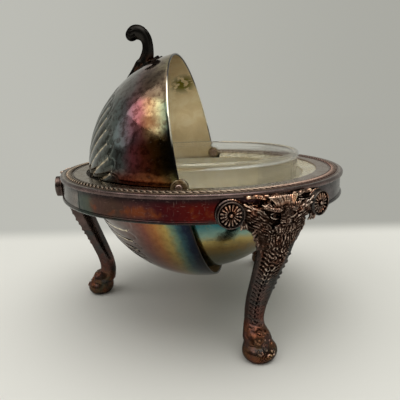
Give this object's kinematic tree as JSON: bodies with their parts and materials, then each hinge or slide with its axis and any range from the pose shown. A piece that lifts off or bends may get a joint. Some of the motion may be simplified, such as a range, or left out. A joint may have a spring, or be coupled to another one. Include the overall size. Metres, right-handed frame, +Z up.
{
  "type": "roll-top serving dish",
  "caption": "Round silver-plated serving dish with a glass liner in a fixed bowl, a hemispherical dome that rolls back about side pivots, and legs with lion masks and paw feet.",
  "frame": {"origin": "on the floor under the centre of the ring, which is the centre of the dome's opening", "axes": "+Z up; -Y the open front of the dish, +Y the back leg; the dome's pivot axis runs along X"},
  "size_m": [0.1562, 0.1574, 0.157],
  "materials": {
    "flange_plate": "tarnished silver plate, warm taupe, satin",
    "rope_trim": "silver plate rubbed bright on its high points",
    "band_plate": "heavily tarnished silver plate, red, orange and purple",
    "bowl_plate": "tarnished silver plate, teal, gold and olive outside, pale inside",
    "collar_plate": "pale warm silver plate, satin",
    "leg_casting": "cast and plated, dark copper with bright high points",
    "dome_plate": "heavily tarnished silver plate with interference colours, tan inside",
    "thumb_casting": "cast and plated, nearly black",
    "pivot_plate": "worn silver plate",
    "screw_metal": "worn plated screws, washers and nuts",
    "liner_glass": "clear, faintly green, smooth"
  },
  "bodies": {
    "stand": {"top_flange": "flange_plate", "rope_border": "rope_trim", "skirt_band": "band_plate", "lower_bead": "band_plate", "bowl_shell": "bowl_plate", "bowl_collar": "collar_plate", "leg_front_left": "leg_casting", "leg_front_right": "leg_casting", "leg_back": "leg_casting", "leg_screws": "screw_metal", "pivot_ear_left": "pivot_plate", "pivot_ear_right": "pivot_plate", "pivot_screw_left": "screw_metal", "pivot_screw_right": "screw_metal", "pivot_washers": "screw_metal", "pivot_nuts": "screw_metal"},
    "dome": {"dome_shell": "dome_plate", "dome_lug_left": "pivot_plate", "dome_lug_right": "pivot_plate", "thumbpiece": "thumb_casting", "thumbpiece_screw": "screw_metal"},
    "liner": {"glass_liner": "liner_glass"}
  },
  "joints": [
    {"name": "dome_turn", "type": "hinge", "parent": "stand", "child": "dome", "pos_m": [0, 0, 0.081], "axis": [-1, 0, 0], "range_deg": [-100.5, 44]},
    {"name": "liner_lift", "type": "slide", "parent": "stand", "child": "liner", "axis": [0, 0, 1], "range_m": [0, 0.006]}
  ]
}
